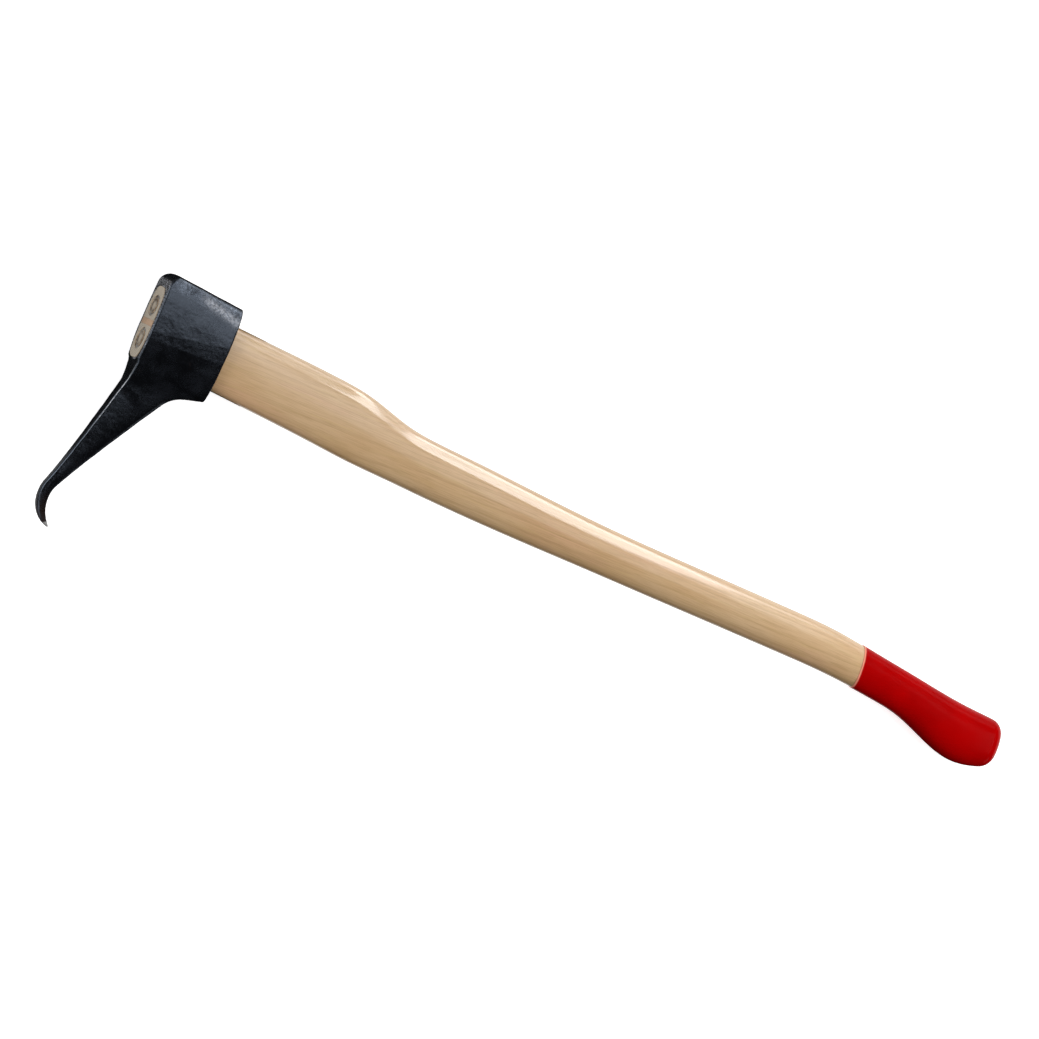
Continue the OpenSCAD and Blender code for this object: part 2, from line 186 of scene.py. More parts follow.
def newMaterial(name):
    material = bpy.data.materials.new(name)
    material.use_nodes = True
    tree = material.node_tree
    tree.nodes.clear()
    output = tree.nodes.new("ShaderNodeOutputMaterial")
    shader = tree.nodes.new("ShaderNodeBsdfPrincipled")
    tree.links.new(shader.outputs["BSDF"], output.inputs["Surface"])
    return material, tree, shader


def feed(tree, socket, value):
    if isinstance(value, bpy.types.NodeSocket):
        tree.links.new(value, socket)
    elif isinstance(value, tuple) and len(value) == 3 and len(socket.default_value) == 4:
        socket.default_value = (*value, 1)
    else:
        socket.default_value = value


def place(tree, scale=(1, 1, 1), turn=(0, 0, 0), shift=(0, 0, 0)):
    coords = tree.nodes.new("ShaderNodeTexCoord")
    mapping = tree.nodes.new("ShaderNodeMapping")
    mapping.inputs["Scale"].default_value = scale
    mapping.inputs["Rotation"].default_value = turn
    mapping.inputs["Location"].default_value = shift
    tree.links.new(coords.outputs["Object"], mapping.inputs["Vector"])
    return mapping.outputs["Vector"]


def axesOf(tree, kind="Object"):
    split = tree.nodes.new("ShaderNodeSeparateXYZ")
    feed(tree, split.inputs[0], tree.nodes.new("ShaderNodeTexCoord").outputs[kind])
    return split.outputs


def noiseOf(tree, where, size, detail, rough=0.55):
    # noise whose spots are about size metres across
    node = tree.nodes.new("ShaderNodeTexNoise")
    feed(tree, node.inputs["Vector"], where)
    node.inputs["Scale"].default_value = 1 / size
    node.inputs["Detail"].default_value = detail
    node.inputs["Roughness"].default_value = rough
    return node.outputs["Fac"]


def grainOf(tree, share, size, detail, rough, shift=(0, 0, 0)):
    # noise that is drawn out along x, by one over the share
    return noiseOf(tree, place(tree, (share, 1, 1), shift=shift), size, detail, rough)


def ramp(tree, value, *stops):
    node = tree.nodes.new("ShaderNodeValToRGB")
    feed(tree, node.inputs["Fac"], value)
    elements = node.color_ramp.elements
    while len(elements) < len(stops):
        elements.new(1.0)
    for element, (at, tone) in zip(elements, stops):
        element.position = at
        element.color = (tone, tone, tone, 1)
    return node.outputs["Color"]


def blendColor(tree, amount, under, over):
    node = tree.nodes.new("ShaderNodeMix")
    node.data_type = "RGBA"
    feed(tree, node.inputs[0], amount)
    feed(tree, node.inputs[6], under)
    feed(tree, node.inputs[7], over)
    return node.outputs[2]


def math2(tree, kind, first, second=0.0, clamp=False):
    node = tree.nodes.new("ShaderNodeMath")
    node.operation = kind
    node.use_clamp = clamp
    feed(tree, node.inputs[0], first)
    feed(tree, node.inputs[1], second)
    return node.outputs[0]


def plus(tree, first, second):
    return math2(tree, "ADD", first, second)


def minus(tree, first, second):
    return math2(tree, "SUBTRACT", first, second)


def times(tree, first, second):
    return math2(tree, "MULTIPLY", first, second)


def larger(tree, first, second):
    return math2(tree, "MAXIMUM", first, second)


def remap(tree, value, low, high, newLow, newHigh):
    node = tree.nodes.new("ShaderNodeMapRange")
    node.interpolation_type = "SMOOTHSTEP"
    feed(tree, node.inputs["Value"], value)
    ends = {"From Min": low, "From Max": high, "To Min": newLow, "To Max": newHigh}
    for name, number in ends.items():
        node.inputs[name].default_value = number
    return node.outputs["Result"]


def spread(tree, value, newLow, newHigh, low=0.3, high=0.7):
    # most of any noise lies between low and high
    return remap(tree, value, low, high, newLow, newHigh)


def farFrom(tree, spot):
    # distance from one spot, in metres
    node = tree.nodes.new("ShaderNodeVectorMath")
    node.operation = "DISTANCE"
    feed(tree, node.inputs[0], tree.nodes.new("ShaderNodeTexCoord").outputs["Object"])
    node.inputs[1].default_value = spot
    return node.outputs["Value"]


def maskOf(tree, name):
    node = tree.nodes.new("ShaderNodeAttribute")
    node.attribute_name = name
    return node.outputs["Fac"]


def bumpOf(tree, height, depth, under=None):
    # depth is in metres, from the lowest to the highest
    node = tree.nodes.new("ShaderNodeBump")
    node.inputs["Strength"].default_value = 1.0
    node.inputs["Distance"].default_value = depth
    feed(tree, node.inputs["Height"], height)
    if under is not None:
        feed(tree, node.inputs["Normal"], under)
    return node.outputs["Normal"]


headLook = {
    # mesh
    "grid": 0.6 * mm,          # size of its squares
    "even": 0.5,
    "evenRounds": 3,
    "sharpOver": 60,           # degrees
    # unevenness
    "dentDepth": 0.20 * mm,    # broad, left by the hammer
    "dentSize": 13 * mm,
    "dentRange": (-0.6, 0.7),
    "pitDepth": 0.07 * mm,     # finer, of the scale
    "pitSize": 3.2 * mm,
    "pitRange": (-0.8, 0.8),
    "pitLayers": (1.0, 2.0, 3),
    "woodClear": (0.5 * mm, 3 * mm),   # none nearer the wood than the first, all beyond the second
    # the point
    "tipWay": (-0.465, 0.885, 0),
    "tipGround": 4.2 * mm,     # length of bright ground steel
    "tipBorder": 0.5 * mm,     # it fades over this on either side
    "tipReach": 12 * mm,
    "tipTint": 34 * mm,        # brown heat tint above it, which is duller too
    # bare places, and painted highlights coloured as bare steel
    "arrisGlintWay": (-0.75, 0.15, 0.65),   # the arris is painted as a highlight, in bare steel colour, where it faces this way
    "arrisGlintFacing": (0.86, 0.98),
    "arrisGlintBulge": (0.03, 0.08),
    "arrisGlintStart": (0.060, 0.048),      # the painted arris highlight is brightest just under the eye, and fades down the pick
    "arrisGlintFade": (-0.045, 0.010),
    "endFacing": (0.85, 0.97),         # the end face, which is specked above the arris
    "edgeBulge": (0.05, 0.16),
    "wearFade": (-0.005, 0.035),       # edges are rubbed bare only near the eye
    "streakFrom": (-0.358, 0.105),        # a painted highlight streak, in bare steel colour, runs across the cheek to the rim
    "streakTo": (-0.322, 0.0965),
    "streakWidth": 3.6 * mm,
    "streakFade": (-4 * mm, 10 * mm),
    "streakFacing": 0.5,
    "lip": 1.1 * mm,           # painted highlight along the eye's edge on the upper side, in bare steel colour
    "lipReach": 62 * mm,
    "lipGlintFacing": (0.3, 0.7),
    # colours
    "black": (0.0020, 0.0021, 0.0024),
    "grey": (0.0050, 0.0055, 0.0070),
    # bare worn steel, which also colours the painted highlights on the arris, the cheek streak and
    # the eye's lip
    "worn": (0.42, 0.43, 0.46),
    "bright": (0.86, 0.85, 0.84),
    "tint": (0.024, 0.011, 0.006),
    "tintAmount": 0.8,
    "rust": (0.020, 0.010, 0.006),
    "blueing": (0.68, 0.80, 1.0),      # tint of what the scale mirrors
    # noises: size, detail, roughness
    "patches": (16 * mm, 4, 0.6),
    "scale": (2.2 * mm, 5, 0.65),
    "grain": (0.9 * mm, 3, 0.65),
    "rustSpots": (9 * mm, 5, 0.7),
    "specks": (0.9 * mm, 3, 0.7),
    "lines": (2.4 * mm, 3, 0.6),       # left by grinding the point
    "lineScale": (1, 1, 14),
    "lineTurn": (0, 0, 0.4),
    # as a noise rises from the first number to the second, the amount goes from the third to the last
    "greyShows": (0.35, 0.68, 0, 1),
    "blackShows": (0.52, 0.70, 0, 0.7),
    "rustShows": (0.60, 0.75, 0, 0.4),
    "rustBreaks": (0.4, 0.6, 0.2, 1),
    "edgeShows": (0.48, 0.66, 0.0, 0.22),
    "arrisGlintShows": (0.36, 0.58, 0.15, 1.0),
    "streakShows": (0.35, 0.6, 0.15, 0.6),
    "speckShows": (0.46, 0.58, 0.0, 1.0),
    "lipGlintShows": (0.38, 0.52, 0.45, 1.0),
    # finish
    "rough": (0.20, 0.30),
    "grainRough": 0.06,
    "tintRough": 0.1,
    "groundSmooth": 0.1,
    "groundMetal": 0.6,
    "bareMetal": 0.8,
    "ior": 1.85,
    "scaleDepth": 0.10 * mm,
    "grainDepth": 0.035 * mm,
    "lineDepth": 0.05 * mm,
}


def evenGrid(piece, look):
    grid = piece.modifiers.new("grid", "REMESH")
    grid.mode = "VOXEL"
    grid.voxel_size = look["grid"]
    even = piece.modifiers.new("even", "SMOOTH")
    even.factor = look["even"]
    even.iterations = look["evenRounds"]
    applyModifiers(piece)


def hammered(points, normals, clear, look):
    # unevenness goes inwards, and fades out where the head touches the wood
    broad = np.array([noise.noise(Vector(p) / look["dentSize"]) for p in points])
    fine = np.array([
        noise.fractal(Vector(p) / look["pitSize"], *look["pitLayers"]) for p in points])
    sink = look["dentDepth"] * smoothStep(*look["dentRange"], broad)
    sink = sink + look["pitDepth"] * smoothStep(*look["pitRange"], fine)
    sink = sink * smoothStep(*look["woodClear"], clear)
    low, high = (np.array(corner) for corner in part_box("head"))
    return np.clip(points - normals * sink[:, None], low, high)


def markPoint(mesh, points, look):
    tip = points[np.argmin(points[:, 1])]
    upHook = (points - tip) @ np.array(look["tipWay"])
    fromTip = np.linalg.norm(points - tip, axis=1)
    borderFrom = look["tipGround"] - look["tipBorder"]
    borderTo = look["tipGround"] + look["tipBorder"]
    ground = 1 - smoothStep(borderFrom, borderTo, upHook)
    setMask(mesh, "ground", ground * (fromTip < look["tipReach"]))
    setMask(mesh, "tint", 1 - smoothStep(look["tipGround"], look["tipTint"], fromTip))


def markEdges(mesh, points, normals, look):
    height = points[:, 1]
    specked = smoothStep(*look["endFacing"], -normals[:, 0])
    setMask(mesh, "end", specked * smoothStep(*look["arrisGlintStart"][::-1], height))
    worn = smoothStep(*look["edgeBulge"], bulge(mesh, 2))
    setMask(mesh, "edge", worn * smoothStep(*look["wearFade"], height))
    # the arris mask is a painted highlight: points on the pick's arris that face one set way are
    # coloured as bare worn steel
    arrisGlintWay = np.array(look["arrisGlintWay"]) / np.linalg.norm(look["arrisGlintWay"])
    arrisGlint = smoothStep(*look["arrisGlintFacing"], normals @ arrisGlintWay)
    arrisGlint *= smoothStep(*look["arrisGlintFade"], height) * smoothStep(*look["arrisGlintStart"], height)
    setMask(mesh, "arrisGlint", arrisGlint * smoothStep(*look["arrisGlintBulge"], bulge(mesh, 1)))


# the streak mask is a painted highlight: a bright band where the cheek rounds into the poll, only on
# faces turned up
def markHighlightStreak(mesh, points, normals, look):
    start, stop = np.array(look["streakFrom"]), np.array(look["streakTo"])
    way = (stop - start) / np.linalg.norm(stop - start)
    away = points[:, :2] - start
    aside = np.abs(away @ np.array([-way[1], way[0]])) / look["streakWidth"]
    ahead = smoothStep(*look["streakFade"], away @ way)
    upper = normals[:, 2] > look["streakFacing"]
    setMask(mesh, "highlightStreak", np.exp(-aside ** 2) * ahead * upper)


# the lip mask is a painted highlight: a bright line on the eye's edge, on the upper half only
def markLipGlint(mesh, points, normals, clear, look):
    low, high = (np.array(corner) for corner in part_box("head"))
    nearEnd = points[:, 0] < low[0] + look["lipReach"]
    upper = points[:, 2] > (low[2] + high[2]) / 2
    atEye = (clear < look["lip"]) & nearEnd & upper
    setMask(mesh, "lip", atEye * smoothStep(*look["lipGlintFacing"], -normals[:, 0]))


def forgedHead(look):
    piece = copyOf("head", "forged_head")
    evenGrid(piece, look)
    mesh = piece.data
    # the masks use the normals from before the hammering, so that no dent breaks them up
    points, normals = pointsOf(mesh), normalsOf(mesh)
    wood = BVHTree.FromObject(nodes["haft"], bpy.context.evaluated_depsgraph_get())
    clear = np.array([wood.find_nearest(Vector(p))[3] for p in points])
    points = hammered(points, normals, clear, look)
    setPoints(mesh, points)
    markPoint(mesh, points, look)
    markEdges(mesh, points, normals, look)
    markHighlightStreak(mesh, points, normals, look)
    markLipGlint(mesh, points, normals, clear, look)
    shadeSmooth(piece, look["sharpOver"])
    return piece


def scaleColor(tree, look, where, patches, scale):
    # black scale with greyer patches, some rust, and the heat tint above the point
    color = blendColor(tree, remap(tree, patches, *look["greyShows"]), look["black"], look["grey"])
    color = blendColor(tree, remap(tree, scale, *look["blackShows"]), color, look["black"])
    rust = remap(tree, noiseOf(tree, where, *look["rustSpots"]), *look["rustShows"])
    rust = times(tree, rust, remap(tree, scale, *look["rustBreaks"]))
    color = blendColor(tree, rust, color, look["rust"])
    tint = times(tree, maskOf(tree, "tint"), look["tintAmount"])
    return blendColor(tree, tint, color, look["tint"])


def bareSteelAndGlints(tree, look, where, scale):
    # the lip's painted highlight and the specks are matt, so that they catch light from every side
    # besides the worn edges and specks, the arris line, the cheek streak and the eye's lip are
    # painted highlights
    edge = times(tree, maskOf(tree, "edge"), remap(tree, scale, *look["edgeShows"]))
    arrisGlint = times(tree, maskOf(tree, "arrisGlint"), remap(tree, scale, *look["arrisGlintShows"]))
    highlightStreak = times(tree, maskOf(tree, "highlightStreak"), remap(tree, scale, *look["streakShows"]))
    wearAndGlints = larger(tree, larger(tree, edge, arrisGlint), highlightStreak)
    specks = remap(tree, noiseOf(tree, where, *look["specks"]), *look["speckShows"])
    specks = times(tree, maskOf(tree, "end"), specks)
    lip = times(tree, maskOf(tree, "lip"), remap(tree, scale, *look["lipGlintShows"]))
    return wearAndGlints, larger(tree, specks, lip)


def forgedSteel(look):
    material, tree, shader = newMaterial("forgedSteel")
    where = place(tree)
    patches = noiseOf(tree, where, *look["patches"])
    scale = noiseOf(tree, where, *look["scale"])
    grain = noiseOf(tree, where, *look["grain"])
    ground = maskOf(tree, "ground")
    color = scaleColor(tree, look, where, patches, scale)
    wearAndGlints, matt = bareSteelAndGlints(tree, look, where, scale)
    # worn edges, specks and painted highlights all take the bare steel colour
    color = blendColor(tree, larger(tree, wearAndGlints, matt), color, look["worn"])
    color = blendColor(tree, ground, color, look["bright"])
    feed(tree, shader.inputs["Base Color"], color)
    rough = spread(tree, patches, *look["rough"])
    rough = plus(tree, rough, spread(tree, grain, -look["grainRough"], look["grainRough"]))
    rough = plus(tree, rough, times(tree, maskOf(tree, "tint"), look["tintRough"]))
    smoother = times(tree, ground, look["groundSmooth"] + look["tintRough"])
    rough = math2(tree, "SUBTRACT", rough, smoother, clamp=True)
    feed(tree, shader.inputs["Roughness"], rough)
    groundMetal = times(tree, ground, look["groundMetal"])
    bareMetal = times(tree, wearAndGlints, look["bareMetal"])
    feed(tree, shader.inputs["Metallic"], larger(tree, groundMetal, bareMetal))
    shader.inputs["IOR"].default_value = look["ior"]
    shader.inputs["Specular Tint"].default_value = (*look["blueing"], 1)
    lines = noiseOf(tree, place(tree, look["lineScale"], look["lineTurn"]), *look["lines"])
    height = bumpOf(tree, scale, look["scaleDepth"])
    height = bumpOf(tree, grain, look["grainDepth"], height)
    height = bumpOf(tree, times(tree, ground, lines), look["lineDepth"], height)
    feed(tree, shader.inputs["Normal"], height)
    return material


head = forgedHead(headLook)
head.data.materials.append(forgedSteel(headLook))
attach(head, "root")
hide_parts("head")
print("head forged:", len(head.data.vertices), "points")


haftLook = {
    # mesh
    "creaseOver": 32,          # degrees
    "fineness": 2,
    "sharpOver": 35,           # degrees
    # colours
    "pale": (0.80, 0.555, 0.315),
    "tan": (0.73, 0.470, 0.235),
    "brown": (0.45, 0.255, 0.11),
    "pink": (0.79, 0.475, 0.29),
    "yellow": (0.74, 0.53, 0.23),
    "endGrain": (0.84, 0.74, 0.60),
    "endDark": (0.08, 0.045, 0.026),
    # growth rings
    "ringGap": 3.0 * mm,
    "ringMiddle": (0.115, -0.060),     # in y and z, outside the haft
    "ringDrift": 9 * mm,
    "runOut": 0.006,           # they leave the haft's line by this share of its length
    "ringTones": ((0.0, 0.0), (0.55, 0.12), (0.86, 0.85), (0.93, 1.0), (1.0, 0.0)),
    # noises drawn out along the haft: share, size, detail, roughness, shift
    "drift": (0.06, 34 * mm, 3, 0.5),
    "years": (0.03, 5 * mm, 2, 0.5),
    "fibres": (0.03, 0.75 * mm, 4, 0.7),
    "streaks": (0.05, 2.2 * mm, 3, 0.6, (0.1, 0.5, 0.2)),
    "patches": (0.35, 42 * mm, 3, 0.55),
    "blush": (0.2, 26 * mm, 3, 0.55, (0.3, 0.2, 0.1)),
    "poreLength": 14 * mm,
    "poreWidth": 0.32 * mm,
    "poreSpacing": 1.6,        # times the width of a pore
    "poreNoise": (2, 0.5),     # detail, roughness
    # as a noise rises from the first number to the second, the amount goes from the third to the last
    "tanShows": (0.32, 0.68, 0, 1),
    "pinkShows": (0.5, 0.72, 0, 0.5),
    "yellowShows": (0.52, 0.68, 0, 0.30),
    "fibreShows": (0.42, 0.70, 0, 0.42),
    "poreShows": (0.62, 0.74, 0, 1),
    "poreInLate": (0.0, 1.0, 0.45, 1.0),
    "poreDark": 0.45,
    "lateDark": (0.04, 0.36),
    # the cut end
    "endFacing": (0.8, 0.95),
    "endRough": 0.2,
    "endLate": 0.3,
    "dots": (0.9 * mm, 3, 0.6),
    "dotShows": (0.5, 0.7, 0, 0.35),
    "stain": 1.1 * mm,         # width of the dark stain round each ring wedge
    "stainSpan": (0.4, 1.6),   # how far inside the ring's edge it is darkest, and how far it reaches
    "stainFull": 0.2 * mm,
    "stainDark": 0.85,
    "smear": (3.5 * mm, 3, 0.6),
    "smearShift": (0, 0.03, 0.01),
    "smearShows": (0.35, 0.6, 0.35, 1),
    # finish
    "rough": 0.34,
    "roughSpread": (-0.05, 0.08),
    "varnish": 1.0,
    "varnishRough": 0.09,
    "varnishIor": 1.7,
    "fibreDepth": 0.02 * mm,
    "poreDepth": 0.04 * mm,
}


def middleOf(nodeName):
    low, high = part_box(nodeName)
    return (low + high) / 2


def ringRadius(nodeName):
    low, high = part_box(nodeName)
    return (high.y - low.y) / 2


def lateWood(tree, look):
    # the darker late wood of each growth ring
    spot = axesOf(tree)
    across = minus(tree, spot["Y"], look["ringMiddle"][0])
    depth = minus(tree, spot["Z"], look["ringMiddle"][1])
    reach = plus(tree, times(tree, across, across), times(tree, depth, depth))
    reach = math2(tree, "SQRT", reach)
    drift = grainOf(tree, *look["drift"])
    reach = plus(tree, reach, times(tree, drift, look["ringDrift"]))
    reach = plus(tree, reach, times(tree, spot["X"], look["runOut"]))
    year = math2(tree, "FRACT", math2(tree, "DIVIDE", reach, look["ringGap"]))
    return ramp(tree, year, *look["ringTones"])


def woodPores(tree, look, late):
    share = look["poreWidth"] / look["poreLength"]
    size = look["poreWidth"] * look["poreSpacing"]
    pores = grainOf(tree, share, size, *look["poreNoise"])
    pores = remap(tree, pores, *look["poreShows"])
    return times(tree, pores, remap(tree, late, *look["poreInLate"]))


def woodColor(tree, look, late, fibres, pores):
    patches = remap(tree, grainOf(tree, *look["patches"]), *look["tanShows"])
    blush = remap(tree, grainOf(tree, *look["blush"]), *look["pinkShows"])
    streaks = remap(tree, grainOf(tree, *look["streaks"]), *look["yellowShows"])
    lateAmount = times(tree, late, spread(tree, grainOf(tree, *look["years"]), *look["lateDark"]))
    color = blendColor(tree, patches, look["pale"], look["tan"])
    color = blendColor(tree, blush, color, look["pink"])
    color = blendColor(tree, streaks, color, look["yellow"])
    color = blendColor(tree, lateAmount, color, look["brown"])
    color = blendColor(tree, remap(tree, fibres, *look["fibreShows"]), color, look["brown"])
    return blendColor(tree, times(tree, pores, look["poreDark"]), color, look["brown"])


def endColor(tree, look, late):
    # end grain, with a smeared dark stain round each ring wedge
    dots = remap(tree, noiseOf(tree, place(tree), *look["dots"]), *look["dotShows"])
    color = blendColor(tree, dots, look["endGrain"], look["endDark"])
    color = blendColor(tree, times(tree, late, look["endLate"]), color, look["endDark"])
    smear = noiseOf(tree, place(tree, shift=look["smearShift"]), *look["smear"])
    smear = remap(tree, smear, *look["smearShows"])
    inwards, reach = (look["stain"] * part for part in look["stainSpan"])
    for side in ("ring_wedge_back", "ring_wedge_front"):
        gap = minus(tree, farFrom(tree, tuple(middleOf(side))), ringRadius(side))
        gap = math2(tree, "ABSOLUTE", plus(tree, gap, inwards))
        stain = remap(tree, gap, look["stainFull"], reach, look["stainDark"], 0)
        color = blendColor(tree, times(tree, stain, smear), color, look["endDark"])
    return color


def hickory(look, name="hickory"):
    # the grain runs along the haft, so its patterns are drawn out along x
    material, tree, shader = newMaterial(name)
    late = lateWood(tree, look)
    fibres = grainOf(tree, *look["fibres"])
    pores = woodPores(tree, look, late)
    facing = math2(tree, "ABSOLUTE", axesOf(tree, "Normal")["X"])
    cut = remap(tree, facing, *look["endFacing"], 0, 1)
    color = woodColor(tree, look, late, fibres, pores)
    color = blendColor(tree, cut, color, endColor(tree, look, late))
    feed(tree, shader.inputs["Base Color"], color)
    smoothest, roughest = (look["rough"] + part for part in look["roughSpread"])
    rough = spread(tree, fibres, smoothest, roughest)
    rough = plus(tree, rough, times(tree, cut, look["endRough"]))
    feed(tree, shader.inputs["Roughness"], rough)
    shader.inputs["Coat Weight"].default_value = look["varnish"]
    shader.inputs["Coat Roughness"].default_value = look["varnishRough"]
    shader.inputs["Coat IOR"].default_value = look["varnishIor"]
    height = bumpOf(tree, fibres, look["fibreDepth"])
    height = bumpOf(tree, times(tree, pores, -1.0), look["poreDepth"], height)
    feed(tree, shader.inputs["Normal"], height)
    return material


def carvedHaft(look):
    piece = copyOf("haft", "hickory_haft")
    creased(piece, look["creaseOver"])
    refined(piece, look["fineness"])
    applyModifiers(piece)
    shadeSmooth(piece, look["sharpOver"])
    return piece


haft = carvedHaft(haftLook)
haft.data.materials.append(hickory(haftLook))
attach(haft, "root")
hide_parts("haft")
print("haft carved:", len(haft.data.vertices), "points")


# a darker wood with closer rings, which is hardly varnished
wedgeLook = dict(
    haftLook,
    edge=0.12 * mm,
    pale=(0.50, 0.27, 0.14),
    tan=(0.42, 0.21, 0.10),
    brown=(0.20, 0.09, 0.04),
    pink=(0.46, 0.23, 0.12),
    yellow=(0.46, 0.25, 0.10),
    endGrain=(0.68, 0.47, 0.32),
    endDark=(0.16, 0.07, 0.035),
    ringGap=1.4 * mm,
    rough=0.5,
    varnish=0.15)

crossWedge = copyOf("cross_wedge", "wooden_wedge")
rounded(crossWedge, wedgeLook["edge"])
applyModifiers(crossWedge)
shadeSmooth(crossWedge)
crossWedge.data.materials.append(hickory(wedgeLook, "wedgeWood"))
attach(crossWedge, "root")
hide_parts("cross_wedge")


ringLook = {
    "edge": 0.25 * mm,
    "edgeSteps": 3,
    "steel": (0.62, 0.60, 0.57),
    "dark": (0.050, 0.036, 0.026),
    "shine": 0.5,              # how far clean steel mirrors, as it is scuffed by the hammer
    "rough": (0.28, 0.55),
    "blows": (2.2 * mm, 3, 0.6),       # size, detail, roughness
    "blowDepth": 0.14 * mm,
    "grime": (3.5 * mm, 4, 0.65),
    "grimeShows": (0.44, 0.56, 0, 0.9),
}


def ringSteel(look):
    material, tree, shader = newMaterial("ringSteel")
    where = place(tree)
    blows = noiseOf(tree, where, *look["blows"])
    grime = noiseOf(tree, where, *look["grime"])
    dirty = remap(tree, grime, *look["grimeShows"])
    feed(tree, shader.inputs["Base Color"], blendColor(tree, dirty, look["steel"], look["dark"]))
    shine = minus(tree, look["shine"], times(tree, dirty, look["shine"]))
    feed(tree, shader.inputs["Metallic"], shine)
    feed(tree, shader.inputs["Roughness"], spread(tree, grime, *look["rough"]))
    feed(tree, shader.inputs["Normal"], bumpOf(tree, blows, look["blowDepth"]))
    return material


ringMaterial = ringSteel(ringLook)
for side in ("back", "front"):
    ring = copyOf("ring_wedge_" + side, "ring_" + side)
    rounded(ring, ringLook["edge"], ringLook["edgeSteps"])
    applyModifiers(ring)
    shadeSmooth(ring)
    ring.data.materials.append(ringMaterial)
    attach(ring, "root")
    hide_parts("ring_wedge_" + side)
print("wedges driven in")


dipLook = {
    # mesh
    "lipEdge": 0.18 * mm,
    "edgeSteps": 3,
    "fineness": 2,
    "sharpOver": 50,           # degrees
    "lipReach": 12 * mm,       # the lip's back lies within this of the coat's first point
    "bellyReach": 4 * mm,
    # finish
    "red": (0.46, 0.0004, 0.0008),
    "deep": (0.40, 0.0003, 0.0007),
    "thin": (1.0, 0.36, 0.25),     # the thin lip lets the wood shine through, and is painted brighter than the wood as a painted highlight along the coat's edge
    "lip": 1.5 * mm,               # width of the thin lip
    "lipFade": (0.6, 1.3),         # it fades out between these shares of its width
    "lipWaver": 0.5 * mm,
    "rough": (0.16, 0.22),
    "gloss": 0.07,
    "peelDepth": 0.012 * mm,
    # noises: size, detail
    "tones": (30 * mm, 2),
    "wavers": (6 * mm, 2),
    "roughSpots": (8 * mm, 3),
    "peel": (2.5 * mm, 2),
}


def dippedCoat(look):
    piece = copyOf("dip_coat", "red_dip")
    rounded(piece, look["lipEdge"], look["edgeSteps"], look["sharpOver"])
    refined(piece, look["fineness"])
    applyModifiers(piece)
    shadeSmooth(piece, look["sharpOver"])
    return piece


def lipPlane(points, look):
    # the lip lies on a slanted plane through the coat's first points at the back and the belly
    lip = points[points[:, 0] < points[:, 0].min() + look["lipReach"]]
    first = lip[np.argmin(lip[:, 0])]
    belly = lip[lip[:, 1] < lip[:, 1].min() + look["bellyReach"]]
    second = belly[np.argmin(belly[:, 0])]
    slope = (second[0] - first[0]) / (second[1] - first[1])
    return float(slope), float(first[0] - first[1] * slope)


def redDip(look, slope, start):
    material, tree, shader = newMaterial("redDip")
    where = place(tree)
    tone = spread(tree, noiseOf(tree, where, *look["tones"]), 0, 1)
    color = blendColor(tree, tone, look["red"], look["deep"])
    spot = axesOf(tree)
    lipLine = plus(tree, times(tree, spot["Y"], slope), start)
    waver = times(tree, noiseOf(tree, where, *look["wavers"]), look["lipWaver"])
    fromLip = plus(tree, minus(tree, spot["X"], lipLine), waver)
    fadeFrom, fadeTo = (part * look["lip"] for part in look["lipFade"])
    # a thin band at the coat's edge: partly the wood showing through, partly a painted highlight
    # brighter than the wood
    color = blendColor(tree, remap(tree, fromLip, fadeFrom, fadeTo, 1, 0), color, look["thin"])
    feed(tree, shader.inputs["Base Color"], color)
    rough = spread(tree, noiseOf(tree, where, *look["roughSpots"]), *look["rough"])
    feed(tree, shader.inputs["Roughness"], rough)
    shader.inputs["Specular IOR Level"].default_value = look["gloss"]
    peel = noiseOf(tree, where, *look["peel"])
    feed(tree, shader.inputs["Normal"], bumpOf(tree, peel, look["peelDepth"]))
    return material


dip = dippedCoat(dipLook)
dip.data.materials.append(redDip(dipLook, *lipPlane(pointsOf(dip.data), dipLook)))
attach(dip, "root")
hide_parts("dip_coat")
print("knob dipped:", len(dip.data.vertices), "points")


stageLook = {
    "floorSize": 12.0,
    "floor": (0.85, 0.85, 0.85),
    "floorRough": 0.9,
    "floorGloss": 0.1,
    "glow": 0.8,                # the floor is lit from below, as on a light table
    "world": (0.012, 0.012, 0.013),
}

lights = {
    # name: place, aim, width, depth, brightness
    "sky": ((-0.075, 0.61, 1.6), (-0.075, 0.61, 0), 0.75, 0.86, 1.5),
    "skyNear": ((0.41, 0.30, 1.6), (0.41, 0.30, 0), 0.58, 0.5, 1.0),
    "skyFar": ((0.625, 1.02, 1.6), (0.625, 1.02, 0), 0.65, 0.95, 0.5),
    "window": ((0.60, 1.36, 0.9), (0.60, -0.40, 0), 0.20, 2.0, 5.8),
    "windowLeft": ((0.36, 1.36, 0.9), (0.36, -0.40, 0), 0.12, 2.0, 1.5),
    "windowRight": ((0.825, 1.36, 0.9), (0.825, -0.40, 0), 0.25, 2.0, 0.7),
    "right": ((1.45, 0.25, 1.2), (0.25, 0, 0), 1.6, 0.9, 4.6),
    "rear": ((0.5, 1.9, 0.5), (0.1, 0, 0), 1.8, 0.6, 1.2),
    "fill": ((-0.75, -0.65, 0.75), (-0.1, 0, 0), 0.8, 0.6, 1.3),
    "side": ((-1.5, 0.3, 0.5), (-0.35, 0.05, 0.02), 1.2, 0.6, 3.8),
    "sideLow": ((-1.4, -0.6, 0.35), (-0.35, 0, 0.02), 0.8, 0.4, 1.0),
    "card": ((1.5, -0.8, 0.15), (0.4, -0.05, 0.02), 0.6, 0.3, 0.9),
    # cards just under the floor light the edges from below
    "under": ((0.22, 0.90, -0.002), (0.22, 0.90, 1), 1.0, 1.8, 0.9),
    "underHead": ((-0.75, 0.10, -0.002), (-0.75, 0.10, 1), 0.68, 0.8, 0.26),
}

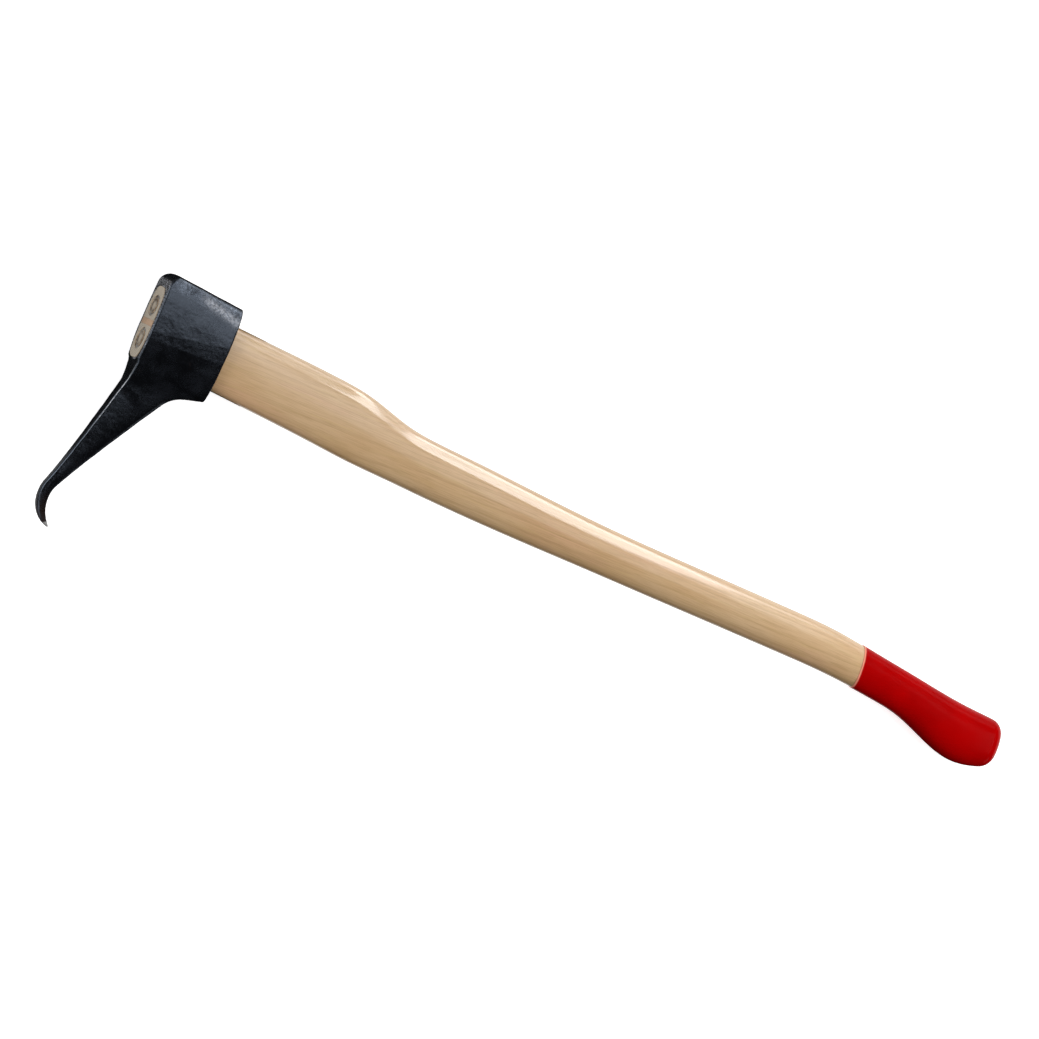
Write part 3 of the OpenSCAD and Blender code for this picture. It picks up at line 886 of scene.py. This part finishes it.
unmirrored = ("right", "sideLow")     # these light the wood, and no piece mirrors them

cameraLook = {
    "lean": 18.8,               # from straight above towards the head's end face
    "slope": 25.5,              # of the haft in the picture
    "twist": 2.2,
    "lens": 1500,
    "frameWidth": 0.8294,
    "aim": (-0.0334, 0.0410),
    "clipNear": 1,
    "clipFar": 3,               # times the camera's distance
}


def makeFloor(look):
    half = look["floorSize"] / 2
    corners = [(-half, -half, 0), (half, -half, 0), (half, half, 0), (-half, half, 0)]
    mesh = bpy.data.meshes.new("floor")
    mesh.from_pydata(corners, [], [(0, 1, 2, 3)])
    floor = bpy.data.objects.new("floor", mesh)
    bpy.context.scene.collection.objects.link(floor)
    material, tree, shader = newMaterial("floorFinish")
    feed(tree, shader.inputs["Base Color"], look["floor"])
    shader.inputs["Roughness"].default_value = look["floorRough"]
    shader.inputs["Specular IOR Level"].default_value = look["floorGloss"]
    shader.inputs["Emission Color"].default_value = (1, 1, 1, 1)
    shader.inputs["Emission Strength"].default_value = look["glow"]
    mesh.materials.append(material)
    # the tool stays dark underneath, as it neither mirrors nor catches the floor
    floor.visible_diffuse = floor.visible_glossy = floor.visible_shadow = False


def makeLights(lamps):
    for name, (at, aim, width, depth, brightness) in lamps.items():
        lamp = bpy.data.lights.new(name, "AREA")
        lamp.shape = "RECTANGLE"
        lamp.size, lamp.size_y = width, depth
        lamp.energy = brightness * math.pi * width * depth
        holder = bpy.data.objects.new(name, lamp)
        holder.location = at
        way = Vector(aim) - Vector(at)
        if way.xy.length > mm or way.z > 0:     # a lamp that isn't turned shines straight down
            holder.rotation_euler = way.to_track_quat("-Z", "Y").to_euler()
        holder.visible_camera = False
        holder.visible_glossy = name not in unmirrored
        bpy.context.scene.collection.objects.link(holder)


def makeWorld(look):
    world = bpy.data.worlds.new("studio")
    world.use_nodes = True
    world.node_tree.nodes["Background"].inputs["Color"].default_value = (*look["world"], 1)
    bpy.context.scene.world = world


def makeCamera(look):
    lean, slope, twist = (math.radians(look[part]) for part in ("lean", "slope", "twist"))
    along = Vector((math.cos(lean), 0, math.sin(lean)))
    across = Vector((0, 1, 0))
    right = along * math.cos(slope) + across * math.sin(slope)
    up = across * math.cos(slope) - along * math.sin(slope)
    turn = Matrix.Rotation(-twist, 3, "Z")
    right, up = turn @ right, turn @ up
    back = right.cross(up)
    lens = bpy.data.cameras.new("camera")
    lens.lens = look["lens"]
    distance = look["frameWidth"] * look["lens"] / lens.sensor_width
    lens.clip_start, lens.clip_end = look["clipNear"], distance * look["clipFar"]
    camera = bpy.data.objects.new("camera", lens)
    bpy.context.scene.collection.objects.link(camera)
    middle = (cadBox[0][2] + cadBox[1][2]) / 2
    aim = Vector((*look["aim"], middle))
    turned = Matrix((right, up, back)).transposed().to_4x4()
    camera.matrix_world = Matrix.Translation(aim + back * distance) @ turned
    bpy.context.scene.camera = camera


makeFloor(stageLook)
makeWorld(stageLook)
makeLights(lights)
makeCamera(cameraLook)
bpy.context.scene.view_settings.view_transform = "Standard"
bpy.context.scene.view_settings.look = "None"
print("stage set")
